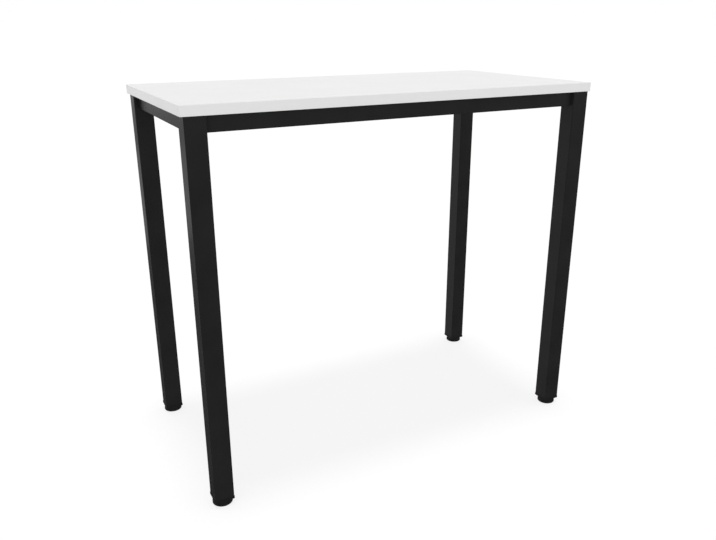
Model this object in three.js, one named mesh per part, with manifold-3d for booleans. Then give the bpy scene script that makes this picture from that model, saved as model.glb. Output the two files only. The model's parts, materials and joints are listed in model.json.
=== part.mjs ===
// Standing meeting table: a white edge-banded top on a black square-tube frame with four screw feet.
// Millimetres, +Z up. +X runs along the table and the front is towards -Y.
// The origin is on the floor under the middle of the top.

import * as THREE from "three";
import { mergeVertices } from "three/addons/utils/BufferGeometryUtils.js";
import Module from "manifold-3d";

// Whole table
const tableLength = 1200;
const tableDepth = 600;
const tableHeight = 1050;

// Top panel and its edge bands
const topThickness = 25;
const topCornerRadius = 3;
const edgeBandThickness = 2;
const edgeBandRounding = 1.5;
const topOverhangEnd = 8;
const topOverhangSide = 1;

// Legs, square tube
const legWidth = 52;
const legWall = 1.5;
const legCornerRadius = 3.5;

// Rails, rectangular tube centred on the legs
const railDepth = 40;
const railWidth = 25;
const railWall = 1.5;
const railCornerRadius = 2.5;

// Spigots welded to the legs, which the long rails slide over
const spigotWall = 4;
const spigotClearance = 0.3;
const boltedJointGap = 0.3;

// Bolts that lock each long rail to its spigots
const boltDiameter = 6;
const boltHeadDiameter = 10.5;
const boltHeadHeight = 3.3;
const boltHeadRim = 1.2;
const boltCrownDiameter = 6.4;
const boltSocketWidth = 4;
const boltSocketDepth = 2;
const boltProtrusion = 4.2;
const boltFromLeg = 20;
const boltSpacing = 35;
const boltEndMargin = 15;

// Screws that hold the top down on the rails
const screwDiameter = 4.8;
const screwHeadDiameter = 9;
const screwHeadHeight = 3;
const screwHeadRim = 1.4;
const screwCrownDiameter = 5.6;
const screwTipLength = 5;
const screwTipCover = 8;
const screwFromSpigot = 80;
const screwFromLeg = 110;
const driverHoleClearance = 1;

// Clearance of a shank in its hole, and of a hole's floor beyond a tip
const shankClearance = 0.3;

// Foot plug in the bottom of the leg
const plugFlangeProud = 1;
const plugFlangeThickness = 5;
const plugFlangeRadius = 4;
const plugDepth = 26;
const plugClearance = 0.3;
const plugWall = 2.5;
const plugRibThickness = 2.5;
const plugBossWall = 2.2;

// Nut held in the plug, and the stud that turns in it
const nutAcrossFlats = 17;
const nutHeight = 8;
const nutClearance = 0.3;
const studDiameter = 10;
const studChamfer = 1;
const footTravel = 20;

// Foot base, as wide as the plug's flange, which turns with the stud
const baseRimHeight = 7.2;
const baseShoulder = 1;
const baseCollarHeight = 8.7;
const baseBottomRadius = 2;
const baseEdgeRadius = 1;
const baseLift = 0.8;
const baseTopGap = 0.3;

// Glide pad under the base, which stays still on the floor
const padFromBaseEdge = 3;
const padThickness = 3;
const padChamfer = 0.5;
const padClearance = 0.3;
const padPinDiameter = 8;
const padPinHeight = 2.5;
const socketFloorThickness = 2;

// Facets of round shapes
const cornerSegments = 3;
const edgeSegments = 2;
const holeSegments = 12;
const fastenerSegments = 12;
const studSegments = 20;
const footSegments = 32;
const hexSides = 6;

// Levels worked out from the floor up
const baseTop = baseLift + baseRimHeight + baseCollarHeight;
const flangeBottom = baseTop + baseTopGap;
const legBottom = flangeBottom + plugFlangeThickness;
const frameTop = tableHeight - topThickness;
const railMiddle = frameTop - railDepth / 2;

// Levels inside the foot base
const padRecessTop = padThickness + padClearance;
const pinHoleTop = padRecessTop + padPinHeight;
const studBottom = pinHoleTop + socketFloorThickness;

// Places worked out from the plan of the top
const legX = tableLength / 2 - topOverhangEnd - legWidth / 2;
const legY = tableDepth / 2 - topOverhangSide - legWidth / 2;
const endRailLength = 2 * legY - legWidth;
const longRailLength = 2 * (legX - boltedJointGap) - legWidth;
const spigotLength = boltFromLeg + boltSpacing + boltEndMargin;

// Widths that follow the leg
const plugFlangeWidth = legWidth + 2 * plugFlangeProud;
const baseDiameter = plugFlangeWidth;
const padDiameter = baseDiameter - 2 * padFromBaseEdge;

// Radius to the corners of a hexagon, from its width across flats
const hexCorner = (acrossFlats) => acrossFlats / 2 / Math.cos(Math.PI / hexSides);

// Sizes shared by pieces that fit together
const boltHoleRadius = boltDiameter / 2 + shankClearance;
const screwHoleRadius = screwDiameter / 2 + shankClearance;
const driverHoleRadius = screwHeadDiameter / 2 + driverHoleClearance;
const studHoleRadius = studDiameter / 2 + shankClearance;
const nutPocketRadius = hexCorner(nutAcrossFlats + 2 * nutClearance);
const screwReach = topThickness - screwTipCover;
const bandRounding = Math.min(edgeBandRounding, edgeBandThickness);

// Colours and finishes
const whiteLaminate = { color: 0xf2f2f1, roughness: 0.5, metalness: 0 };
const whiteEdging = { color: 0xeeeeec, roughness: 0.45, metalness: 0 };
const blackPowderCoat = { color: 0x232324, roughness: 0.6, metalness: 0 };
const blackPlastic = { color: 0x171717, roughness: 0.55, metalness: 0 };
const blackBolt = { color: 0x1d1d1f, roughness: 0.4, metalness: 0.8 };
const zincSteel = { color: 0xb9bcc0, roughness: 0.35, metalness: 1 };
const greyRubber = { color: 0x2f2f2f, roughness: 0.9, metalness: 0 };

const wasm = await Module();
wasm.setup();

// A closed geometry as a solid, with shared corners merged and collapsed triangles left out
function toSolid(geometry) {
  const bare = geometry.clone();
  bare.deleteAttribute("normal");
  bare.deleteAttribute("uv");
  const merged = mergeVertices(bare);
  const corners = merged.index.array;
  const triangles = [];
  for (let i = 0; i < corners.length; i += 3) {
    const [a, b, c] = corners.slice(i, i + 3);
    if (a !== b && b !== c && c !== a) {
      triangles.push(a, b, c);
    }
  }
  return new wasm.Manifold(new wasm.Mesh({
    numProp: 3,
    vertProperties: merged.attributes.position.array,
    triVerts: Uint32Array.from(triangles),
  }));
}

function toGeometry(solid) {
  const mesh = solid.getMesh();
  const geometry = new THREE.BufferGeometry();
  geometry.setAttribute("position", new THREE.BufferAttribute(mesh.vertProperties, 3));
  geometry.setIndex(new THREE.BufferAttribute(mesh.triVerts, 1));
  geometry.computeVertexNormals();
  return geometry;
}

function join(geometries) {
  return toGeometry(geometries.map(toSolid).reduce((whole, piece) => whole.add(piece)));
}

function cut(body, tools) {
  return toGeometry(tools.map(toSolid).reduce((left, tool) => left.subtract(tool), toSolid(body)));
}

function common(geometries) {
  return toGeometry(geometries.map(toSolid).reduce((shared, piece) => shared.intersect(piece)));
}

function part(name, geometry, finish) {
  const mesh = new THREE.Mesh(geometry, new THREE.MeshStandardMaterial(finish));
  mesh.name = name;
  return mesh;
}

// A rectangle about the origin with round corners, or sharp ones where the radius is nothing
function roundedRectangle(width, height, radius, Outline = THREE.Shape) {
  const r = Math.max(radius, 0);
  const x = width / 2 - r;
  const y = height / 2 - r;
  const outline = new Outline();
  if (r === 0) {
    outline.setFromPoints([[-x, -y], [x, -y], [x, y], [-x, y]].map((p) => new THREE.Vector2(...p)));
    return outline;
  }
  outline.absarc(x, y, r, 0, Math.PI / 2);
  outline.absarc(-x, y, r, Math.PI / 2, Math.PI);
  outline.absarc(-x, -y, r, Math.PI, 1.5 * Math.PI);
  outline.absarc(x, -y, r, 1.5 * Math.PI, 2 * Math.PI);
  return outline;
}

// An outline extruded up from z = 0
function prism(outline, height) {
  const settings = { depth: height, bevelEnabled: false, curveSegments: cornerSegments };
  return new THREE.ExtrudeGeometry(outline, settings);
}

// A rectangular tube extruded up from z = 0
function tube(width, height, wall, radius, length) {
  const outline = roundedRectangle(width, height, radius);
  const bore = roundedRectangle(width - 2 * wall, height - 2 * wall, radius - wall, THREE.Path);
  outline.holes.push(bore);
  return prism(outline, length);
}

// A round bar from z = bottom to z = top
function bar(radius, bottom, top, segments = holeSegments) {
  const geometry = new THREE.CylinderGeometry(radius, radius, top - bottom, segments);
  geometry.rotateX(Math.PI / 2);
  return geometry.translate(0, 0, (bottom + top) / 2);
}

// A profile of [radius, height] points, from the axis back to the axis, turned about Z
function turned(profile, segments) {
  const points = profile.map(([radius, height]) => new THREE.Vector2(radius, height));
  const geometry = new THREE.LatheGeometry(points, segments);
  return geometry.rotateX(Math.PI / 2);
}

// Points of a quarter round on a turned profile, anticlockwise from its first direction
function quarterRound(centreRadius, centreHeight, radius, startAngle) {
  const points = [];
  for (let i = 0; i <= edgeSegments; i += 1) {
    const angle = startAngle + (i / edgeSegments) * (Math.PI / 2);
    points.push([centreRadius + radius * Math.cos(angle), centreHeight + radius * Math.sin(angle)]);
  }
  return points;
}

// Lays a shape that runs up Z along X instead, centred on the origin, so that its own X points down
function layAlongX(geometry, length) {
  geometry.translate(0, 0, -length / 2);
  return geometry.rotateY(Math.PI / 2);
}

// Where the screws stand along a rail, from its middle
const longRailScrews = [-1, 0, 1].map((side) => side * (longRailLength / 2 - spigotLength - screwFromSpigot));
const endRailScrews = [-1, 1].map((side) => side * (endRailLength / 2 - screwFromLeg));

// Where the bolts stand along a long rail, from its middle, the left pair first
const boltsFromEnd = [boltFromLeg, boltFromLeg + boltSpacing].map((place) => place - boltedJointGap);
const leftBolts = boltsFromEnd.map((place) => place - longRailLength / 2);
const rightBolts = boltsFromEnd.map((place) => longRailLength / 2 - place);

// The core panel, drilled from below for the screws
function topBoard() {
  const length = tableLength - 2 * edgeBandThickness;
  const depth = tableDepth - 2 * edgeBandThickness;
  const panel = new THREE.BoxGeometry(length, depth, topThickness);
  panel.translate(0, 0, frameTop + topThickness / 2);
  const pilot = bar(screwHoleRadius, frameTop - shankClearance, frameTop + screwReach + shankClearance);
  const pilots = [];
  for (const side of [-1, 1]) {
    longRailScrews.forEach((x) => pilots.push(pilot.clone().translate(x, side * legY, 0)));
    endRailScrews.forEach((y) => pilots.push(pilot.clone().translate(side * legX, y, 0)));
  }
  return part("top_board", cut(panel, pilots), whiteLaminate);
}

// The whole top as one slab with rounded arrises and corners, which the edge bands are the rim of
function roundedSlab() {
  const plan = prism(roundedRectangle(tableLength, tableDepth, topCornerRadius), topThickness);
  const alongX = prism(roundedRectangle(topThickness, tableDepth, bandRounding), tableLength);
  const alongY = prism(roundedRectangle(tableLength, topThickness, bandRounding), tableDepth);
  plan.translate(0, 0, -topThickness / 2);
  layAlongX(alongX, tableLength);
  alongY.translate(0, 0, -tableDepth / 2);
  alongY.rotateX(Math.PI / 2);
  return common([plan, alongX, alongY]);
}

function edgeBands() {
  const slab = roundedSlab();
  const middle = edgeBandThickness / 2;
  const longBand = new THREE.BoxGeometry(tableLength, edgeBandThickness, topThickness);
  const endBand = new THREE.BoxGeometry(edgeBandThickness, tableDepth - 2 * edgeBandThickness, topThickness);
  const bands = [
    ["edge_band_front", longBand.clone().translate(0, middle - tableDepth / 2, 0)],
    ["edge_band_rear", longBand.clone().translate(0, tableDepth / 2 - middle, 0)],
    ["edge_band_left", endBand.clone().translate(middle - tableLength / 2, 0, 0)],
    ["edge_band_right", endBand.clone().translate(tableLength / 2 - middle, 0, 0)],
  ];
  const group = new THREE.Group();
  group.position.z = frameTop + topThickness / 2;
  bands.forEach(([name, rim]) => group.add(part(name, common([slab, rim]), whiteEdging)));
  return group;
}

// A rail along X with its inner wall towards +Y. Bolt holes go through the inner wall. Each screw has
// a hole in the upper wall and a wider one for the driver in the lower wall.
function railGeometry(length, bolts, screws) {
  const blank = layAlongX(tube(railDepth, railWidth, railWall, railCornerRadius, length), length);
  const tools = [];
  for (const x of bolts) {
    const hole = bar(boltHoleRadius, 0, railWidth);
    tools.push(hole.rotateX(-Math.PI / 2).translate(x, 0, 0));
  }
  for (const x of screws) {
    tools.push(bar(screwHoleRadius, 0, railDepth).translate(x, 0, 0));
    tools.push(bar(driverHoleRadius, -railDepth, 0).translate(x, 0, 0));
  }
  return cut(blank, tools);
}

// A channel that fills the end of a long rail, its web against the rail's inner wall and tapped for
// the bolts. It stands on its leg at x = 0 and runs along X, in the direction given as 1 or -1.
function spigotGeometry(direction) {
  const fit = 2 * (railWall + spigotClearance);
  const height = railDepth - fit;
  const width = railWidth - fit;
  const radius = railCornerRadius - railWall - spigotClearance;
  const block = layAlongX(prism(roundedRectangle(height, width, radius), spigotLength), spigotLength);
  block.translate(direction * spigotLength / 2, 0, 0);
  const trough = new THREE.BoxGeometry(spigotLength * 4, width, height - 2 * spigotWall);
  trough.translate(0, -spigotWall, 0);
  const tools = [trough];
  for (const place of [boltFromLeg, boltFromLeg + boltSpacing]) {
    const hole = bar(boltHoleRadius, 0, railWidth);
    tools.push(hole.rotateX(-Math.PI / 2).translate(direction * place, 0, 0));
  }
  return cut(block, tools);
}

// A button-head bolt along Y, its head towards +Y with its seat at y = 0
function boltGeometry() {
  const shank = railWall + spigotClearance + spigotWall + boltProtrusion;
  const radius = boltDiameter / 2;
  const head = boltHeadDiameter / 2;
  const profile = [
    [0, -shank],
    [radius, -shank],
    [radius, 0],
    [head, 0],
    [head, boltHeadRim],
    [boltCrownDiameter / 2, boltHeadHeight],
    [0, boltHeadHeight],
  ];
  const blank = turned(profile, fastenerSegments);
  const socketFloor = boltHeadHeight - boltSocketDepth;
  const socket = bar(hexCorner(boltSocketWidth), socketFloor, boltHeadHeight * 2, hexSides);
  return cut(blank, [socket]).rotateX(-Math.PI / 2);
}

// A pan-head wood screw up Z, its head below with its seat at z = 0
function screwGeometry() {
  const radius = screwDiameter / 2;
  const head = screwHeadDiameter / 2;
  const top = railWall + screwReach;
  const profile = [
    [0, -screwHeadHeight],
    [screwCrownDiameter / 2, -screwHeadHeight],
    [head, -screwHeadRim],
    [head, 0],
    [radius, 0],
    [radius, top - screwTipLength],
    [0, top],
  ];
  return turned(profile, fastenerSegments);
}

function addScrews(group, name, screws) {
  screws.forEach((x, index) => {
    const screw = part(`top_screw_${name}_${index + 1}`, screwGeometry(), zincSteel);
    screw.position.set(x, 0, railDepth / 2 - railWall);
    group.add(screw);
  });
}

// A long rail with the spigots that carry it, its bolts and its screws. Left and right are the names of
// the ends at -X and +X of the group itself.
function longSide(name, left, right) {
  const group = new THREE.Group();
  const bolts = [...leftBolts, ...rightBolts];
  group.add(part(`rail_${name}`, railGeometry(longRailLength, bolts, longRailScrews), blackPowderCoat));
  for (const [end, side, places] of [[left, -1, leftBolts], [right, 1, rightBolts]]) {
    const spigot = part(`spigot_${name}_${end}`, spigotGeometry(-side), blackPowderCoat);
    spigot.position.x = side * (legX - legWidth / 2);
    group.add(spigot);
    places.forEach((x, index) => {
      const bolt = part(`rail_bolt_${name}_${end}_${index + 1}`, boltGeometry(), blackBolt);
      bolt.position.set(x, railWidth / 2, 0);
      group.add(bolt);
    });
  }
  addScrews(group, name, longRailScrews);
  return group;
}

// An end rail with its screws
function endSide(name) {
  const group = new THREE.Group();
  group.add(part(`rail_${name}`, railGeometry(endRailLength, [], endRailScrews), blackPowderCoat));
  addScrews(group, name, endRailScrews);
  return group;
}

function rails() {
  const front = longSide("front", "left", "right");
  front.position.set(0, -legY, railMiddle);
  const rear = longSide("rear", "right", "left");
  rear.position.set(0, legY, railMiddle);
  rear.rotation.z = Math.PI;
  const left = endSide("left");
  left.position.set(-legX, 0, railMiddle);
  left.rotation.z = -Math.PI / 2;
  const right = endSide("right");
  right.position.set(legX, 0, railMiddle);
  right.rotation.z = Math.PI / 2;
  return [front, rear, left, right];
}

function leg(name) {
  const geometry = tube(legWidth, legWidth, legWall, legCornerRadius, frameTop - legBottom);
  const mesh = part(`leg_${name}`, geometry, blackPowderCoat);
  mesh.position.z = legBottom;
  return mesh;
}

// The moulded plug: a flange under the leg, a sleeve inside it, and a ribbed boss that holds the nut
function footPlug(name) {
  const outside = legWidth - 2 * (legWall + plugClearance);
  const cornerRadius = legCornerRadius - legWall - plugClearance;
  const height = plugFlangeThickness + plugDepth;
  const flangePlan = roundedRectangle(plugFlangeWidth, plugFlangeWidth, plugFlangeRadius);
  const flange = prism(flangePlan, plugFlangeThickness);
  const sleeve = tube(outside, outside, plugWall, cornerRadius, height);
  const rib = new THREE.BoxGeometry(outside - plugWall, plugRibThickness, height);
  rib.translate(0, 0, height / 2);
  const boss = bar(nutPocketRadius + plugBossWall, 0, height);
  const body = join([flange, sleeve, rib, rib.clone().rotateZ(Math.PI / 2), boss]);
  const bore = bar(studHoleRadius, -height, height * 2);
  const pocket = bar(nutPocketRadius, height - nutHeight, height * 2, hexSides);
  const mesh = part(`foot_plug_${name}`, cut(body, [bore, pocket]), blackPlastic);
  mesh.position.z = flangeBottom;
  return mesh;
}

function footNut(name) {
  const blank = bar(hexCorner(nutAcrossFlats), 0, nutHeight, hexSides);
  const bore = bar(studHoleRadius, -nutHeight, nutHeight * 2);
  const mesh = part(`foot_nut_${name}`, cut(blank, [bore]), zincSteel);
  mesh.position.z = legBottom + plugDepth - nutHeight;
  return mesh;
}

// The stud reaches through the nut even when the foot is let right down
function footStud(name) {
  const top = legBottom + plugDepth + footTravel;
  const radius = studDiameter / 2;
  const profile = [
    [0, studBottom],
    [radius, studBottom],
    [radius, top - studChamfer],
    [radius - studChamfer, top],
    [0, top],
  ];
  return part(`foot_stud_${name}`, turned(profile, studSegments), zincSteel);
}

// A round base with a rim, a narrower collar above it, a recess for the pad and a socket for the stud
function footBase(name) {
  const rim = baseDiameter / 2;
  const collar = rim - baseShoulder;
  const rimTop = baseLift + baseRimHeight;
  const recess = padDiameter / 2 + padClearance;
  const pinHole = padPinDiameter / 2 + padClearance;
  const edge = baseEdgeRadius;
  const shoulder = Math.min(edge, baseShoulder);
  const profile = [
    [0, pinHoleTop],
    [pinHole, pinHoleTop],
    [pinHole, padRecessTop],
    [recess, padRecessTop],
    [recess, baseLift],
    ...quarterRound(rim - baseBottomRadius, baseLift + baseBottomRadius, baseBottomRadius, -Math.PI / 2),
    ...quarterRound(rim - shoulder, rimTop - shoulder, shoulder, 0),
    [collar, rimTop],
    ...quarterRound(collar - edge, baseTop - edge, edge, 0),
    [studHoleRadius, baseTop],
    [studHoleRadius, studBottom],
    [0, studBottom],
  ];
  return part(`foot_base_${name}`, turned(profile, footSegments), blackPlastic);
}

function footPad(name) {
  const radius = padDiameter / 2;
  const pin = padPinDiameter / 2;
  const profile = [
    [0, 0],
    [radius - padChamfer, 0],
    [radius, padChamfer],
    [radius, padThickness],
    [pin, padThickness],
    [pin, padThickness + padPinHeight],
    [0, padThickness + padPinHeight],
  ];
  return part(`foot_pad_${name}`, turned(profile, footSegments), greyRubber);
}

function legsAndFeet() {
  const corners = [
    ["front_left", -1, -1],
    ["front_right", 1, -1],
    ["rear_left", -1, 1],
    ["rear_right", 1, 1],
  ];
  return corners.map(([name, sideX, sideY]) => {
    const group = new THREE.Group();
    group.position.set(sideX * legX, sideY * legY, 0);
    group.add(leg(name), footPlug(name), footNut(name), footStud(name), footBase(name), footPad(name));
    return group;
  });
}

const table = new THREE.Group();
table.add(topBoard(), edgeBands(), ...rails(), ...legsAndFeet());

export default table;
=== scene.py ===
# Looks of the standing meeting table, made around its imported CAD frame.
# Metres, +Z up. +X runs along the table and the front is towards -Y, as in the frame.

import json
import math

import bmesh
import bpy
from mathutils import Matrix, Vector

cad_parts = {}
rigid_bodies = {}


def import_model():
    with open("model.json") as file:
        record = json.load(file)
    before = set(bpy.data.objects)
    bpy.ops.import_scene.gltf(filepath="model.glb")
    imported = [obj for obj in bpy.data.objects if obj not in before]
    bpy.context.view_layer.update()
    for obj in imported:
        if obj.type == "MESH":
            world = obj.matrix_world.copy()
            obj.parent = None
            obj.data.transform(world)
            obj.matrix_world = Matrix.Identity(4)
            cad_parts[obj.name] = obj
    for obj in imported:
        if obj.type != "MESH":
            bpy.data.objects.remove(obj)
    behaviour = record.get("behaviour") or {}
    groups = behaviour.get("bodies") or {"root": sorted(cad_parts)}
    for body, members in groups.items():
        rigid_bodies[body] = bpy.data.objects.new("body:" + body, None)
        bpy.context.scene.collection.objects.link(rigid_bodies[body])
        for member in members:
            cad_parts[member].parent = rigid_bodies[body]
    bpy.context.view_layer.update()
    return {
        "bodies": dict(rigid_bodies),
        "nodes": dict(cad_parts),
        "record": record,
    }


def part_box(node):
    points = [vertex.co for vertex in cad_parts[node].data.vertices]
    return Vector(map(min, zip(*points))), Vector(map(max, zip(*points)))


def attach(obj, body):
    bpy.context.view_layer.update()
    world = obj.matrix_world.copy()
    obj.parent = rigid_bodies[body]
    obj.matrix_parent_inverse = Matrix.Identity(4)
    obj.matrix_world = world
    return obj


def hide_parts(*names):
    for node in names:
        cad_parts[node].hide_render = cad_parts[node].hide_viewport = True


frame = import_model()
scene = bpy.context.scene

MM = 0.001
CORNERS = ["front_left", "front_right", "rear_left", "rear_right"]

# The image in pixels, and the camera that the photograph's edges were fitted with.
# The axis pixel is where the lens points, a little off the middle of the image.
IMAGE_WIDTH = 716
IMAGE_HEIGHT = 540
FOCAL_PIXELS = 704.14
AXIS_PIXEL = (362.3, 266.5)
SENSOR_WIDTH_MM = 36
CAMERA_PLACE = Vector((-0.97280, -1.84813, 1.22473))
CAMERA_YAW = math.radians(-27.893)
CAMERA_PITCH = math.radians(19.364)
CAMERA_ROLL = math.radians(-0.113)

# Edges sharper than this stay sharp when a surface is shaded smooth
SHARP_ANGLE = math.radians(34)

# Facets of the turned pieces. The smaller count has a step on every corner of the bolts' hexagon
# and of the screws' cross.
ROUND_SEGMENTS = 96
SMALL_SEGMENTS = 48
ARC_STEPS = 6
MERGE_DISTANCE = 0.002 * MM


# Camera and stage


def add_camera():
    data = bpy.data.cameras.new("camera")
    data.sensor_width = SENSOR_WIDTH_MM
    data.lens = SENSOR_WIDTH_MM * FOCAL_PIXELS / IMAGE_WIDTH
    data.shift_x = (IMAGE_WIDTH / 2 - AXIS_PIXEL[0]) / IMAGE_WIDTH
    data.shift_y = (AXIS_PIXEL[1] - IMAGE_HEIGHT / 2) / IMAGE_WIDTH
    camera = bpy.data.objects.new("camera", data)
    scene.collection.objects.link(camera)
    turn = Matrix.Rotation(CAMERA_YAW, 4, "Z")
    tilt = Matrix.Rotation(math.pi / 2 - CAMERA_PITCH, 4, "X")
    roll = Matrix.Rotation(CAMERA_ROLL, 4, "Z")
    camera.matrix_world = Matrix.Translation(CAMERA_PLACE) @ turn @ tilt @ roll
    scene.camera = camera


FLOOR_SIZE = 600
FLOOR_CELLS = 8
FLOOR_GAP = 0.05 * MM


def add_floor(material):
    """A wide plane that stays under the lowest foot when the feet are let down."""
    mesh = bpy.data.meshes.new("floor")
    build = bmesh.new()
    bmesh.ops.create_grid(build, x_segments=FLOOR_CELLS, y_segments=FLOOR_CELLS, size=FLOOR_SIZE / 2)
    build.to_mesh(mesh)
    build.free()
    mesh.materials.append(material)
    floor = bpy.data.objects.new("floor", mesh)
    floor.location.z = -FLOOR_GAP
    floor.visible_glossy = False
    scene.collection.objects.link(floor)
    for corner in CORNERS:
        limit = floor.constraints.new("FLOOR")
        limit.target = frame["bodies"][f"foot_{corner}_pad"]
        limit.floor_location = "FLOOR_NEGATIVE_Z"
        limit.offset = -FLOOR_GAP
    return floor


# Node helpers for the materials


def add_node(tree, kind, inputs=None, **settings):
    node = tree.nodes.new(kind)
    for name, value in settings.items():
        setattr(node, name, value)
    for name, value in (inputs or {}).items():
        if isinstance(value, bpy.types.NodeSocket):
            tree.links.new(value, node.inputs[name])
        else:
            node.inputs[name].default_value = value
    return node


def grey(value):
    return (value, value, value, 1)


def map_range(tree, value, start, end, low, high):
    """The value's range from start to end, stretched to low and high and held there beyond it."""
    inputs = {"Value": value, "From Min": start, "From Max": end, "To Min": low, "To Max": high}
    return add_node(tree, "ShaderNodeMapRange", inputs).outputs["Result"]


# Samples that a finish takes at each point to find the edges
EDGE_SAMPLES = 6


class Finish:
    """A procedural material: its shader, and the textures that drive its sockets."""

    def __init__(self, name, **constants):
        self.material = bpy.data.materials.new(name)
        self.material.use_nodes = True
        self.tree = self.material.node_tree
        self.shader = self.tree.nodes["Principled BSDF"]
        self.place = add_node(self.tree, "ShaderNodeTexCoord").outputs["Object"]
        for socket, value in constants.items():
            self.shader.inputs[socket.replace("_", " ")].default_value = value

    def noise(self, size, detail=2.0, stretch=(1, 1, 1)):
        """Soft noise from 0 to 1 whose blotches are about size metres across."""
        scale = tuple(1 / (size * s) for s in stretch)
        moved = add_node(self.tree, "ShaderNodeMapping", {"Vector": self.place, "Scale": scale})
        inputs = {"Vector": moved.outputs["Vector"], "Scale": 1.0, "Detail": detail}
        return add_node(self.tree, "ShaderNodeTexNoise", inputs).outputs["Fac"]

    def spread(self, value, low, high, start=0.3, end=0.7):
        """The value's range from start to end, stretched to low and high."""
        return map_range(self.tree, value, start, end, low, high)

    def mathematics(self, operation, *values):
        node = add_node(self.tree, "ShaderNodeMath", operation=operation)
        for socket, value in zip(node.inputs, values):
            if isinstance(value, bpy.types.NodeSocket):
                self.tree.links.new(value, socket)
            else:
                socket.default_value = value
        return node.outputs["Value"]

    def colours(self, value, *stops):
        """A ramp through (place, colour) stops."""
        ramp = add_node(self.tree, "ShaderNodeValToRGB", {"Fac": value})
        elements = ramp.color_ramp.elements
        while len(elements) < len(stops):
            elements.new(1)
        for element, (place, colour) in zip(elements, stops):
            element.position = place
            element.color = colour
        return ramp.outputs["Color"]

    def edges(self, radius):
        """Near 0 on flats, rising towards 1 along edges that stand out."""
        bevel = add_node(self.tree, "ShaderNodeBevel", {"Radius": radius}, samples=EDGE_SAMPLES)
        plain = add_node(self.tree, "ShaderNodeNewGeometry").outputs["Normal"]
        inputs = {0: bevel.outputs["Normal"], 1: plain}
        alike = add_node(self.tree, "ShaderNodeVectorMath", inputs, operation="DOT_PRODUCT")
        return self.mathematics("SUBTRACT", 1.0, alike.outputs["Value"])

    def rim(self, half_length, half_depth, width):
        """0 inside a rectangle on plan, rising to 1 over the last width of it."""
        apart = add_node(self.tree, "ShaderNodeSeparateXYZ", {"Vector": self.place})
        nearness = []
        for axis, half in (("X", half_length), ("Y", half_depth)):
            reach = self.mathematics("ABSOLUTE", apart.outputs[axis])
            nearness.append(self.spread(reach, low=0.0, high=1.0, start=half - width, end=half))
        return self.mathematics("MAXIMUM", *nearness)

    def bumps(self, *layers):
        """Lays (height, depth in metres, strength) layers over each other."""
        normal = None
        for height, depth, strength in layers:
            inputs = {"Height": height, "Distance": depth, "Strength": strength}
            if normal is not None:
                inputs["Normal"] = normal
            normal = add_node(self.tree, "ShaderNodeBump", inputs).outputs["Normal"]
        self.drive("Normal", normal)

    def drive(self, socket, value):
        self.tree.links.new(value, self.shader.inputs[socket])

    def clear_from_behind(self):
        """Makes the back of the surface see-through."""
        behind = add_node(self.tree, "ShaderNodeNewGeometry").outputs["Backfacing"]
        clear = add_node(self.tree, "ShaderNodeBsdfTransparent").outputs["BSDF"]
        inputs = {0: behind, 1: self.shader.outputs["BSDF"], 2: clear}
        mixed = add_node(self.tree, "ShaderNodeMixShader", inputs).outputs["Shader"]
        self.tree.links.new(mixed, self.tree.nodes["Material Output"].inputs["Surface"])


# Materials


def floor_finish():
    """Matt floor with a glow of its own that makes it near white, clear when seen from below."""
    finish = Finish(
        "studio_floor",
        Base_Color=grey(0.104),
        Specular_IOR_Level=0.0,
        Emission_Color=grey(1.0),
        Emission_Strength=0.824,
    )
    finish.clear_from_behind()
    return finish.material


# The board lies centred on the origin, so its high corner gives half its length and depth
BOARD_HALF_LENGTH, BOARD_HALF_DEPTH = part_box("top_board")[1][:2]


def laminate_finish():
    """White melamine facing: a fine pearl texture, faint cloudiness and a hairline at the edge band."""
    finish = Finish("white_laminate", Specular_IOR_Level=0.15)
    cloud = finish.noise(size=0.14)
    pearl = finish.noise(size=1.1 * MM, detail=3.0)
    speck = finish.noise(size=0.35 * MM)
    mix = finish.mathematics("MULTIPLY", cloud, finish.spread(speck, low=0.94, high=1.06))
    clouded = finish.spread(mix, low=0.3, high=1.0, start=0.25, end=0.75)
    hairline = finish.rim(BOARD_HALF_LENGTH, BOARD_HALF_DEPTH, width=0.3 * MM)
    shade = finish.mathematics("SUBTRACT", clouded, hairline)
    colour = finish.colours(
        shade,
        (0.0, grey(0.640)),
        (0.3, grey(0.750)),
        (1.0, grey(0.770)),
    )
    finish.drive("Base Color", colour)
    finish.drive("Roughness", finish.spread(pearl, low=0.44, high=0.56))
    finish.bumps((pearl, 0.06 * MM, 0.25), (speck, 0.02 * MM, 0.15))
    return finish.material


def edging_finish():
    """White plastic edge band: satin, with fine lines left along it by the scraper."""
    finish = Finish("white_edging", Specular_IOR_Level=0.35)
    cloud = finish.noise(size=0.2)
    grain = finish.noise(size=0.8 * MM, detail=3.0)
    lines = finish.noise(size=0.5 * MM, stretch=(60, 60, 1))
    edge = finish.edges(radius=0.8 * MM)
    worn = finish.spread(edge, low=0.0, high=0.25, start=0.02, end=0.3)
    mix = finish.mathematics("ADD", cloud, worn)
    colour = finish.colours(mix, (0.25, grey(0.732)), (0.8, grey(0.760)))
    finish.drive("Base Color", colour)
    finish.drive("Roughness", finish.spread(grain, low=0.36, high=0.48))
    finish.bumps((lines, 0.03 * MM, 0.2), (grain, 0.03 * MM, 0.15))
    return finish.material


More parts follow.
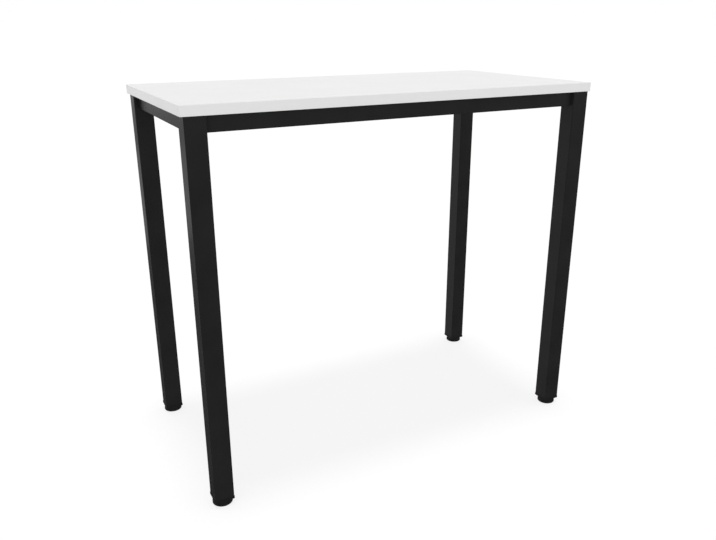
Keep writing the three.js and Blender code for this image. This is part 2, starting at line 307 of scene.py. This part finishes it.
def powder_coat_finish():
    """Satin black powder coat: orange peel, fine grain, and a paler touch along the edges."""
    finish = Finish("black_powder_coat", Specular_IOR_Level=0.06)
    drift = finish.noise(size=0.09)
    peel = finish.noise(size=2.2 * MM)
    grain = finish.noise(size=0.45 * MM, detail=3.0)
    edge = finish.edges(radius=1.2 * MM)
    rubbed = finish.spread(edge, low=0.0, high=0.5, start=0.03, end=0.4)
    worn = finish.mathematics("MULTIPLY", rubbed, drift)
    mix = finish.mathematics("ADD", finish.mathematics("MULTIPLY", drift, grain), worn)
    finish.drive("Base Color", finish.colours(mix, (0.1, grey(0.0134)), (0.45, grey(0.0186))))
    broad = finish.spread(drift, low=0.26, high=0.32)
    fine = finish.spread(grain, low=0.94, high=1.06)
    finish.drive("Roughness", finish.mathematics("MULTIPLY", broad, fine))
    finish.bumps((peel, 0.12 * MM, 0.15), (grain, 0.04 * MM, 0.12))
    return finish.material


def black_plastic_finish():
    """Moulded black plastic with a fine spark-eroded grain."""
    finish = Finish("black_plastic", Specular_IOR_Level=0.12)
    drift = finish.noise(size=12 * MM)
    grain = finish.noise(size=0.5 * MM, detail=3.0)
    edge = finish.edges(radius=0.6 * MM)
    rubbed = finish.spread(edge, low=0.0, high=0.4, start=0.03, end=0.4)
    worn = finish.mathematics("MULTIPLY", rubbed, drift)
    mix = finish.mathematics("ADD", finish.mathematics("MULTIPLY", drift, grain), worn)
    finish.drive("Base Color", finish.colours(mix, (0.1, grey(0.0105)), (0.5, grey(0.0145))))
    finish.drive("Roughness", finish.spread(grain, low=0.42, high=0.56))
    finish.bumps((grain, 0.06 * MM, 0.35))
    return finish.material


def black_bolt_finish():
    """Black oxide on steel, rubbed brighter on the edges."""
    finish = Finish("black_oxide", Metallic=0.85)
    drift = finish.noise(size=3 * MM)
    grain = finish.noise(size=0.3 * MM, detail=3.0)
    edge = finish.edges(radius=0.35 * MM)
    worn = finish.spread(edge, low=0.0, high=0.5, start=0.04, end=0.4)
    mix = finish.mathematics("ADD", finish.mathematics("MULTIPLY", drift, grain), worn)
    finish.drive("Base Color", finish.colours(mix, (0.1, grey(0.012)), (0.7, grey(0.05))))
    finish.drive("Roughness", finish.spread(grain, low=0.34, high=0.5))
    finish.bumps((grain, 0.02 * MM, 0.3))
    return finish.material


def zinc_finish():
    """Bright zinc plate with a faint bluish and yellowish passivation."""
    finish = Finish("zinc_plate", Metallic=1.0)
    drift = finish.noise(size=5 * MM)
    grain = finish.noise(size=0.25 * MM, detail=3.0)
    colour = finish.colours(
        drift,
        (0.3, (0.50, 0.53, 0.57, 1)),
        (0.5, (0.60, 0.61, 0.62, 1)),
        (0.7, (0.64, 0.62, 0.56, 1)),
    )
    finish.drive("Base Color", colour)
    finish.drive("Roughness", finish.spread(grain, low=0.24, high=0.42))
    finish.bumps((grain, 0.02 * MM, 0.3))
    return finish.material


def rubber_finish():
    """Dark grey rubber, matt and slightly dusty."""
    finish = Finish("pad_rubber", Specular_IOR_Level=0.25)
    dust = finish.noise(size=4 * MM, detail=4.0)
    grain = finish.noise(size=0.4 * MM, detail=3.0)
    finish.drive("Base Color", finish.colours(dust, (0.3, grey(0.020)), (0.75, grey(0.036))))
    finish.drive("Roughness", finish.spread(grain, low=0.78, high=0.92))
    finish.bumps((grain, 0.05 * MM, 0.4))
    return finish.material


MAKERS = {
    "laminate": laminate_finish,
    "edging": edging_finish,
    "powder_coat": powder_coat_finish,
    "black_bolt": black_bolt_finish,
    "zinc_steel": zinc_finish,
    "black_plastic": black_plastic_finish,
    "pad_rubber": rubber_finish,
}
FINISHES = {slot: make() for slot, make in MAKERS.items()}
SLOT_OF_NODE = {part["node"]: part["material_slot"] for part in frame["record"]["subparts"]}
BODIES = frame["record"]["behaviour"]["bodies"]
BODY_OF_NODE = {node: body for body, nodes in BODIES.items() for node in nodes}


def paint(piece, slot):
    piece.data.materials.clear()
    piece.data.materials.append(FINISHES[slot])


# CAD nodes that keep their shape


def smooth_group():
    """A node group that shades faces smooth and keeps the sharp edges."""
    group = bpy.data.node_groups.new("smooth_by_angle", "GeometryNodeTree")
    group.interface.new_socket("Geometry", in_out="INPUT", socket_type="NodeSocketGeometry")
    group.interface.new_socket("Geometry", in_out="OUTPUT", socket_type="NodeSocketGeometry")
    source = add_node(group, "NodeGroupInput")
    angle = add_node(group, "GeometryNodeInputMeshEdgeAngle").outputs["Unsigned Angle"]
    sharp = add_node(group, "FunctionNodeCompare", {0: angle, 1: SHARP_ANGLE}, operation="GREATER_THAN")
    faces = add_node(group, "GeometryNodeSetShadeSmooth", {"Geometry": source.outputs[0]})
    inputs = {"Geometry": faces.outputs[0], "Selection": sharp.outputs[0], "Shade Smooth": False}
    edges = add_node(group, "GeometryNodeSetShadeSmooth", inputs, domain="EDGE")
    add_node(group, "NodeGroupOutput", {0: edges.outputs[0]})
    return group


SMOOTH_GROUP = smooth_group()
ARRIS_ANGLE = math.radians(50)
ARRIS_SEGMENTS = 2
PLUG_ARRIS = 0.5 * MM


def soften(piece, arris=0.0):
    """Shades a faceted piece smooth, with its sharp edges eased by arris metres."""
    weld = piece.modifiers.new("weld", "WELD")
    weld.merge_threshold = MERGE_DISTANCE
    if arris:
        bevel = piece.modifiers.new("arris", "BEVEL")
        bevel.width = arris
        bevel.segments = ARRIS_SEGMENTS
        bevel.limit_method = "ANGLE"
        bevel.angle_limit = ARRIS_ANGLE
    smooth = piece.modifiers.new("smooth", "NODES")
    smooth.node_group = SMOOTH_GROUP
    weighted = piece.modifiers.new("weighted", "WEIGHTED_NORMAL")
    weighted.keep_sharp = True


def dress_cad_nodes():
    """Gives every CAD node its finish and smooth shading, and eases the edges of the plugs."""
    for name, node in frame["nodes"].items():
        paint(node, SLOT_OF_NODE[name])
        soften(node, PLUG_ARRIS if name.startswith("foot_plug") else 0.0)


# Making new pieces


def add_piece(name, build, slot, body):
    """A piece from a bmesh in frame coordinates, shaded smooth between its sharp edges."""
    bmesh.ops.recalc_face_normals(build, faces=build.faces)
    for face in build.faces:
        face.smooth = True
    for edge in build.edges:
        edge.smooth = edge.calc_face_angle(0.0) < SHARP_ANGLE
    mesh = bpy.data.meshes.new(name)
    build.to_mesh(mesh)
    build.free()
    piece = bpy.data.objects.new(name, mesh)
    scene.collection.objects.link(piece)
    paint(piece, slot)
    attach(piece, body)
    return piece


def refine(node, build):
    """A finer piece in place of a CAD node."""
    piece = add_piece(f"{node}_detailed", build, SLOT_OF_NODE[node], BODY_OF_NODE[node])
    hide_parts(node)


def arc(centre_radius, centre_height, radius, start, end):
    """Profile points along an arc, its angles in degrees from outward towards up."""
    points = []
    for step in range(ARC_STEPS + 1):
        angle = math.radians(start + (end - start) * step / ARC_STEPS)
        across = centre_radius + radius * math.cos(angle)
        up = centre_height + radius * math.sin(angle)
        points.append((across, up))
    return points


def turned(profile, segments):
    """A bmesh of (radius, height) points, from the axis back to the axis, turned about Z.
    A radius may be a function of the angle."""
    build = bmesh.new()
    angles = [2 * math.pi * step / segments for step in range(segments)]
    rows = []
    for radius, height in profile:
        reaches = [radius(angle) if callable(radius) else radius for angle in angles]
        places = [(r * math.cos(a), r * math.sin(a), height) for r, a in zip(reaches, angles)]
        rows.append([build.verts.new(place) for place in places])
    for lower, upper in zip(rows, rows[1:]):
        for step in range(segments):
            after = (step + 1) % segments
            build.faces.new((lower[step], lower[after], upper[after], upper[step]))
    bmesh.ops.remove_doubles(build, verts=build.verts, dist=MERGE_DISTANCE)
    return build


def middle(node):
    low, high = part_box(node)
    return (Vector(low) + Vector(high)) / 2


def refine_on_axis(node, build, height=0.0):
    """Refines a node with a bmesh made about Z, moved to the node's axis and up by height."""
    centre = middle(node)
    bmesh.ops.translate(build, verts=build.verts, vec=(centre.x, centre.y, height))
    refine(node, build)


# Feet

PAD_CLEARANCE = 0.3 * MM
PAD_THICKNESS = 3 * MM
PAD_CHAMFER = 0.5 * MM
PAD_GROOVES = [8 * MM, 13 * MM, 18 * MM]
PAD_GROOVE_WIDTH = 1.6 * MM
PAD_GROOVE_DEPTH = 0.5 * MM
PIN_RADIUS = 4 * MM
PIN_EDGE = 0.4 * MM
BASE_RIM_TOP = 8 * MM
BASE_SHOULDER = 1 * MM
BASE_BOTTOM_RADIUS = 2 * MM
BASE_EDGE = 1 * MM
STUD_CLEARANCE = 0.3 * MM


def refine_base(corner):
    """A round base with a rim, a narrower collar, a recess for the pad and a socket for the stud."""
    base_low, base_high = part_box(f"foot_base_{corner}")
    pad_low, pad_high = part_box(f"foot_pad_{corner}")
    stud_low, stud_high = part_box(f"foot_stud_{corner}")
    rim = (base_high[0] - base_low[0]) / 2
    collar = rim - BASE_SHOULDER
    bottom, top = base_low[2], base_high[2]
    recess = (pad_high[0] - pad_low[0]) / 2 + PAD_CLEARANCE
    recess_top = PAD_THICKNESS + PAD_CLEARANCE
    pin_hole = PIN_RADIUS + PAD_CLEARANCE
    pin_hole_top = pad_high[2] + PAD_CLEARANCE
    socket = (stud_high[0] - stud_low[0]) / 2 + STUD_CLEARANCE
    profile = [
        (0, pin_hole_top),
        (pin_hole, pin_hole_top),
        (pin_hole, recess_top),
        (recess, recess_top),
        (recess, bottom),
        *arc(rim - BASE_BOTTOM_RADIUS, bottom + BASE_BOTTOM_RADIUS, BASE_BOTTOM_RADIUS, -90, 0),
        *arc(rim - BASE_SHOULDER, BASE_RIM_TOP - BASE_SHOULDER, BASE_SHOULDER, 0, 90),
        *arc(collar - BASE_EDGE, top - BASE_EDGE, BASE_EDGE, 0, 90),
        (socket, top),
        (socket, stud_low[2]),
        (0, stud_low[2]),
    ]
    refine_on_axis(f"foot_base_{corner}", turned(profile, ROUND_SEGMENTS))


def refine_pad(corner):
    """A rubber pad with ring grooves below and a pin above."""
    low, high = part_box(f"foot_pad_{corner}")
    radius = (high[0] - low[0]) / 2
    profile = [(0, 0)]
    for groove in PAD_GROOVES:
        outside = PAD_GROOVE_WIDTH / 2
        inside = outside - PAD_GROOVE_DEPTH
        profile += [(groove - outside, 0), (groove - inside, PAD_GROOVE_DEPTH)]
        profile += [(groove + inside, PAD_GROOVE_DEPTH), (groove + outside, 0)]
    profile += [
        (radius - PAD_CHAMFER, 0),
        (radius, PAD_CHAMFER),
        *arc(radius - PAD_CHAMFER, PAD_THICKNESS - PAD_CHAMFER, PAD_CHAMFER, 0, 90),
        (PIN_RADIUS, PAD_THICKNESS),
        *arc(PIN_RADIUS - PIN_EDGE, high[2] - PIN_EDGE, PIN_EDGE, 0, 90),
        (0, high[2]),
    ]
    refine_on_axis(f"foot_pad_{corner}", turned(profile, ROUND_SEGMENTS))


THREAD_PITCH = 1.5 * MM
THREAD_DEPTH = 0.9 * MM
THREAD_SEGMENTS = 36
THREAD_RUN_OUT = 1 * MM
THREAD_END_TURNS = 1

# How far each row of one turn of the thread stands out, from the root to the crest and back
THREAD_FORM = [0, 0, 0.5, 1, 1, 0.5]


def thread_grid(build, radius, bottom, top):
    """Rows of vertices that climb by one pitch each time round, sunk to the root at both ends.
    The turns beyond each end are pressed flat against it."""
    turn_rows = len(THREAD_FORM)
    row_count = math.ceil((top - bottom) / THREAD_PITCH + 2 * THREAD_END_TURNS) * turn_rows
    rows = []
    for i in range(row_count):
        row = []
        for j in range(THREAD_SEGMENTS):
            angle = 2 * math.pi * j / THREAD_SEGMENTS
            climb = THREAD_PITCH * (i / turn_rows + j / THREAD_SEGMENTS - THREAD_END_TURNS)
            height = min(max(bottom + climb, bottom), top)
            ease = min(1, (height - bottom) / THREAD_RUN_OUT, (top - height) / THREAD_RUN_OUT)
            reach = radius - THREAD_DEPTH * (1 - THREAD_FORM[i % turn_rows] * ease)
            row.append(build.verts.new((reach * math.cos(angle), reach * math.sin(angle), height)))
        rows.append(row)
    return rows


def threaded(radius, bottom, top):
    """A right-hand threaded bar about Z."""
    build = bmesh.new()
    rows = thread_grid(build, radius, bottom, top)
    turn_rows = len(THREAD_FORM)
    last = THREAD_SEGMENTS - 1
    for i in range(len(rows) - 1):
        for j in range(last):
            build.faces.new((rows[i][j], rows[i][j + 1], rows[i + 1][j + 1], rows[i + 1][j]))
    for i in range(len(rows) - 1 - turn_rows):
        beyond = i + turn_rows
        build.faces.new((rows[i][last], rows[beyond][0], rows[beyond + 1][0], rows[i + 1][last]))
    bmesh.ops.remove_doubles(build, verts=build.verts, dist=MERGE_DISTANCE)
    rims = [edge for edge in build.edges if edge.is_boundary]
    bmesh.ops.holes_fill(build, edges=rims, sides=0)
    return build


def refine_stud(corner):
    """A stud with its thread."""
    low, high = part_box(f"foot_stud_{corner}")
    radius = (high[0] - low[0]) / 2
    refine_on_axis(f"foot_stud_{corner}", threaded(radius, low[2], high[2]))


# Bolts and screws

BOLT_RADIUS = 3 * MM
BOLT_HEAD_RADIUS = 5.25 * MM
BOLT_HEAD_HEIGHT = 3.3 * MM
BOLT_HEAD_RIM = 1.2 * MM
BOLT_CROWN_RADIUS = 3.2 * MM
BOLT_SOCKET = 4 * MM
BOLT_SOCKET_DEPTH = 2 * MM
BOLT_SOCKET_CONE = 0.5 * MM
BOLT_EDGE = 0.35 * MM
BOLT_DOME_RISE = 0.35 * MM


def hexagon(across_flats):
    """The outline of a hexagon, as a function of the angle."""
    sixth = math.pi / 3
    return lambda angle: across_flats / 2 / math.cos((angle + sixth / 2) % sixth - sixth / 2)


def dome(crown, rim, rise):
    """Profile points from a crown's (radius, height) down to a rim's, bowed outwards by about rise."""
    points = []
    for step in range(ARC_STEPS + 1):
        along = step / ARC_STEPS
        bow = rise * math.sin(math.pi * along)
        radius = crown[0] + (rim[0] - crown[0]) * along
        height = crown[1] + (rim[1] - crown[1]) * along
        points.append((radius + bow / 2, height + bow))
    return points


def refine_bolt(name, side, index):
    """A button-head bolt with a hexagon socket, its head towards the middle of the table."""
    node = f"rail_bolt_{name}_{side}_{index}"
    low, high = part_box(node)
    centre = middle(node)
    length = high[1] - low[1]
    shank_end = BOLT_HEAD_HEIGHT - length
    floor = BOLT_HEAD_HEIGHT - BOLT_SOCKET_DEPTH
    socket = hexagon(BOLT_SOCKET)
    crown = (BOLT_CROWN_RADIUS, BOLT_HEAD_HEIGHT)
    rim = (BOLT_HEAD_RADIUS - BOLT_EDGE, BOLT_HEAD_RIM)
    profile = [
        (0, floor - BOLT_SOCKET_CONE),
        (socket, floor),
        (socket, BOLT_HEAD_HEIGHT - BOLT_EDGE / 2),
        (hexagon(BOLT_SOCKET + BOLT_EDGE), BOLT_HEAD_HEIGHT),
        *dome(crown, rim, BOLT_DOME_RISE),
        (BOLT_HEAD_RADIUS, BOLT_HEAD_RIM - BOLT_EDGE),
        (BOLT_HEAD_RADIUS, BOLT_EDGE),
        (BOLT_HEAD_RADIUS - BOLT_EDGE, 0),
        (BOLT_RADIUS, 0),
        (BOLT_RADIUS, shank_end + BOLT_EDGE),
        (BOLT_RADIUS - BOLT_EDGE, shank_end),
        (0, shank_end),
    ]
    build = turned(profile, SMALL_SEGMENTS)
    inward = 1 if name == "front" else -1
    seat = high[1] - BOLT_HEAD_HEIGHT if name == "front" else low[1] + BOLT_HEAD_HEIGHT
    tip_over = Matrix.Rotation(-inward * math.pi / 2, 4, "X")
    place = Matrix.Translation((centre.x, seat, centre.z)) @ tip_over
    bmesh.ops.transform(build, matrix=place, verts=build.verts)
    refine(node, build)


SCREW_RADIUS = 2.4 * MM
SCREW_HEAD_RADIUS = 4.5 * MM
SCREW_HEAD_HEIGHT = 3 * MM
SCREW_HEAD_RIM = 1.4 * MM
SCREW_CROWN_RADIUS = 2.8 * MM
SCREW_TIP_LENGTH = 5 * MM
SCREW_DOME_RISE = 0.25 * MM
SCREW_EDGE = 0.3 * MM
CROSS_ARM_LENGTH = 2.3 * MM
CROSS_ARM_ANGLE = math.radians(15)
CROSS_DEPTH = 1.8 * MM
CROSS_TAPER = 0.45

# Keeps the facets that lie just on the corner of an arm, after rounding, with the arm
CROSS_ANGLE_MARGIN = 2e-6


def cross(arm_length):
    """The outline of a four-armed cross, as a function of the angle."""
    half_width = arm_length * math.tan(CROSS_ARM_ANGLE)

    def reach(angle):
        off = abs((angle + math.pi / 4) % (math.pi / 2) - math.pi / 4)
        if off <= CROSS_ARM_ANGLE + CROSS_ANGLE_MARGIN:
            return arm_length / math.cos(off)
        return half_width / math.sin(off)

    return reach


def refine_screw(node):
    """A pan-head screw with a cross recess, pointing up."""
    low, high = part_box(node)
    tip = high[2] - low[2] - SCREW_HEAD_HEIGHT
    recess_floor = CROSS_DEPTH - SCREW_HEAD_HEIGHT
    crown = (SCREW_CROWN_RADIUS, SCREW_HEAD_HEIGHT)
    rim = (SCREW_HEAD_RADIUS - SCREW_EDGE, SCREW_HEAD_RIM)
    profile = [
        (0, recess_floor),
        (cross(CROSS_ARM_LENGTH * CROSS_TAPER), recess_floor),
        (cross(CROSS_ARM_LENGTH), -SCREW_HEAD_HEIGHT),
        *[(radius, -height) for radius, height in dome(crown, rim, SCREW_DOME_RISE)],
        (SCREW_HEAD_RADIUS, -SCREW_HEAD_RIM + SCREW_EDGE),
        (SCREW_HEAD_RADIUS, -SCREW_EDGE),
        (SCREW_HEAD_RADIUS - SCREW_EDGE, 0),
        (SCREW_RADIUS, 0),
        (SCREW_RADIUS, tip - SCREW_TIP_LENGTH),
        (0, tip),
    ]
    seat = low[2] + SCREW_HEAD_HEIGHT
    refine_on_axis(node, turned(profile, SMALL_SEGMENTS), seat)


# Weld beads where the end rails meet the legs

BEAD_SIZE = 3.5 * MM
BEAD_STEP = 0.4 * MM
BEAD_RIPPLE_PITCH = 1.8 * MM
BEAD_RIPPLE = 0.07
BEAD_END_MARGIN = 3 * MM
BEAD_ARC_STEPS = 7
BEAD_FLATTENING = 0.2
RAIL_CORNER = 2.5 * MM


def bead_path(inner, outer, bottom, top):
    """(x, z, outward direction) down the inner side of a rail, round its corner and along below it."""
    outward = 1 if inner > outer else -1
    path = []
    side_length = top - bottom - RAIL_CORNER - BEAD_END_MARGIN
    for step in range(int(side_length / BEAD_STEP) + 1):
        path.append((inner, top - BEAD_END_MARGIN - step * BEAD_STEP, Vector((outward, 0, 0))))
    corner_steps = int(RAIL_CORNER * math.pi / 2 / BEAD_STEP)
    corner_x = inner - outward * RAIL_CORNER
    corner_z = bottom + RAIL_CORNER
    for step in range(corner_steps + 1):
        angle = math.pi / 2 * step / corner_steps
        away = Vector((outward * math.cos(angle), 0, -math.sin(angle)))
        path.append((corner_x + RAIL_CORNER * away.x, corner_z + RAIL_CORNER * away.z, away))
    under_length = abs(inner - outer) - 2 * RAIL_CORNER
    for step in range(1, int(under_length / BEAD_STEP)):
        path.append((corner_x - outward * step * BEAD_STEP, bottom, Vector((0, 0, -1))))
    return path


def bead_rows(path, leg_face, towards_rail):
    """Rounded cross-sections along the path, with ripples, that shrink at both ends."""
    rows = []
    for index, (x, z, away) in enumerate(path):
        along = index * BEAD_STEP
        left = (len(path) - 1) * BEAD_STEP - along
        ripple = 1 + BEAD_RIPPLE * math.sin(2 * math.pi * along / BEAD_RIPPLE_PITCH)
        size = BEAD_SIZE * ripple * math.sqrt(min(1, (min(along, left) + BEAD_STEP) / BEAD_SIZE))
        corner = Vector((x, leg_face, z))
        row = [corner]
        for step in range(BEAD_ARC_STEPS + 1):
            angle = math.pi / 2 * step / BEAD_ARC_STEPS
            flatter = 1 - BEAD_FLATTENING * math.sin(2 * angle)
            lift = away * (size * flatter * math.sin(angle))
            run = Vector((0, towards_rail, 0)) * (size * flatter * math.cos(angle))
            row.append(corner + lift + run)
        rows.append(row)
    return rows


def add_weld_bead(rail, leg_side):
    """The bead at one end of an end rail, on its inner side and below it."""
    low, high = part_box(f"rail_{rail}")
    inner, outer = (high[0], low[0]) if rail == "left" else (low[0], high[0])
    leg_face, towards_rail = (low[1], 1) if leg_side == "front" else (high[1], -1)
    build = bmesh.new()
    path = bead_path(inner, outer, low[2], high[2])
    places = bead_rows(path, leg_face, towards_rail)
    rows = [[build.verts.new(place) for place in row] for row in places]
    count = len(rows[0])
    for before, after in zip(rows, rows[1:]):
        for step in range(count):
            beside = (step + 1) % count
            build.faces.new((before[step], before[beside], after[beside], after[step]))
    build.faces.new(rows[0])
    build.faces.new(rows[-1])
    add_piece(f"weld_bead_{rail}_{leg_side}", build, "powder_coat", "table")


def add_fine_pieces():
    """The finer feet, bolts and screws, and the weld beads."""
    for corner in CORNERS:
        refine_base(corner)
        refine_pad(corner)
        refine_stud(corner)
    for name in ("front", "rear"):
        for side in ("left", "right"):
            for index in (1, 2):
                refine_bolt(name, side, index)
    for node in frame["nodes"]:
        if node.startswith("top_screw"):
            refine_screw(node)
    for rail in ("left", "right"):
        for leg_side in ("front", "rear"):
            add_weld_bead(rail, leg_side)


# Light and view

# Strengths of the light from each part of the world
SKY_DIM = 0.84
SKY_BRIGHT = 1.13
SKY_BRIGHT_DIRECTION = (0.958, 0.287, 0.0)
HORIZON = 1.0
BELOW_DIM = 0.055
HAZE = 0.62
PALE = 1.0
PALE_DIRECTION = (-0.64, 0.75, -0.2)

# Heights of a direction, from -1 straight down to 1 straight up, between which one strength gives
# way to the next
SKY_BLEND = (0.1, 0.25)
HORIZON_BLEND = (-0.1, -0.06)
HAZE_BLEND = (-0.18, -0.1)

# Cosines of the angle from the middle of the pale patch at which it starts and is full
PALE_BLEND = (0.93, 0.97)

# The screen's lower left corner, seen from the table, with its width and height
SCREEN_LOW = (-1.75, 2.2, 0.0)
SCREEN_SIZE = (0.95, 0.55)
SCREEN_RADIANCE = 0.35

# An area light's power for each unit of radiance and area
AREA_LIGHT_POWER = 4

# The suns straight above, with how wide each looks from the floor
OVERHEAD_STRENGTH = 0.42
OVERHEAD_ANGLE = math.radians(8)
FLOOR_LIGHT_STRENGTH = 2.37
FLOOR_LIGHT_ANGLE = math.radians(11)


def add_world():
    """Soft light all round, brighter on the right than on the left, with an even white horizon.
    What glossy faces mirror from below is dim, with a haze towards the horizon and a pale patch
    behind the table on the left."""
    world = bpy.data.worlds.new("studio")
    world.use_nodes = True
    tree = world.node_tree
    direction = add_node(tree, "ShaderNodeTexCoord").outputs["Generated"]
    height = add_node(tree, "ShaderNodeSeparateXYZ", {"Vector": direction}).outputs["Z"]

    def towards(aim):
        inputs = {0: direction, 1: aim}
        return add_node(tree, "ShaderNodeVectorMath", inputs, operation="DOT_PRODUCT").outputs["Value"]

    upper = map_range(tree, towards(SKY_BRIGHT_DIRECTION), -1.0, 1.0, SKY_DIM, SKY_BRIGHT)
    sky = map_range(tree, height, *SKY_BLEND, HORIZON, upper)
    patch = map_range(tree, towards(PALE_DIRECTION), *PALE_BLEND, BELOW_DIM, PALE)
    haze = map_range(tree, height, *HAZE_BLEND, 0.0, HAZE)
    inputs = {0: patch, 1: haze}
    below = add_node(tree, "ShaderNodeMath", inputs, operation="MAXIMUM").outputs["Value"]
    strength = map_range(tree, height, *HORIZON_BLEND, below, sky)
    background = tree.nodes["Background"]
    background.inputs["Color"].default_value = grey(1.0)
    tree.links.new(strength, background.inputs["Strength"])
    scene.world = world


def add_light(name, kind, power):
    data = bpy.data.lights.new(name, kind)
    data.energy = power
    light = bpy.data.objects.new(name, data)
    scene.collection.objects.link(light)
    return light


def add_overhead_light():
    """A wide sun straight above."""
    light = add_light("overhead", "SUN", OVERHEAD_STRENGTH)
    light.data.angle = OVERHEAD_ANGLE


def add_floor_light(floor):
    """A stronger sun straight above, for the floor alone. It gives the table its soft shadow, while
    the floor round the feet stays white."""
    light = add_light("floor_light", "SUN", FLOOR_LIGHT_STRENGTH)
    light.data.angle = FLOOR_LIGHT_ANGLE
    lit = bpy.data.collections.new("lit_by_floor_light")
    lit.objects.link(floor)
    light.light_linking.receiver_collection = lit


def add_screen():
    """A low bright screen on the floor behind the table, which the left faces of the legs mirror."""
    width, height = SCREEN_SIZE
    light = add_light("screen", "AREA", AREA_LIGHT_POWER * SCREEN_RADIANCE * width * height)
    light.data.shape = "RECTANGLE"
    light.data.size = width
    light.data.size_y = height
    x, y, z = SCREEN_LOW
    place = Matrix.Translation((x + width / 2, y, z + height / 2))
    light.matrix_world = place @ Matrix.Rotation(-math.pi / 2, 4, "X")
    light.visible_camera = False


def main():
    add_camera()
    floor = add_floor(floor_finish())
    add_world()
    add_overhead_light()
    add_floor_light(floor)
    add_screen()
    scene.view_settings.view_transform = "Standard"
    dress_cad_nodes()
    add_fine_pieces()


main()
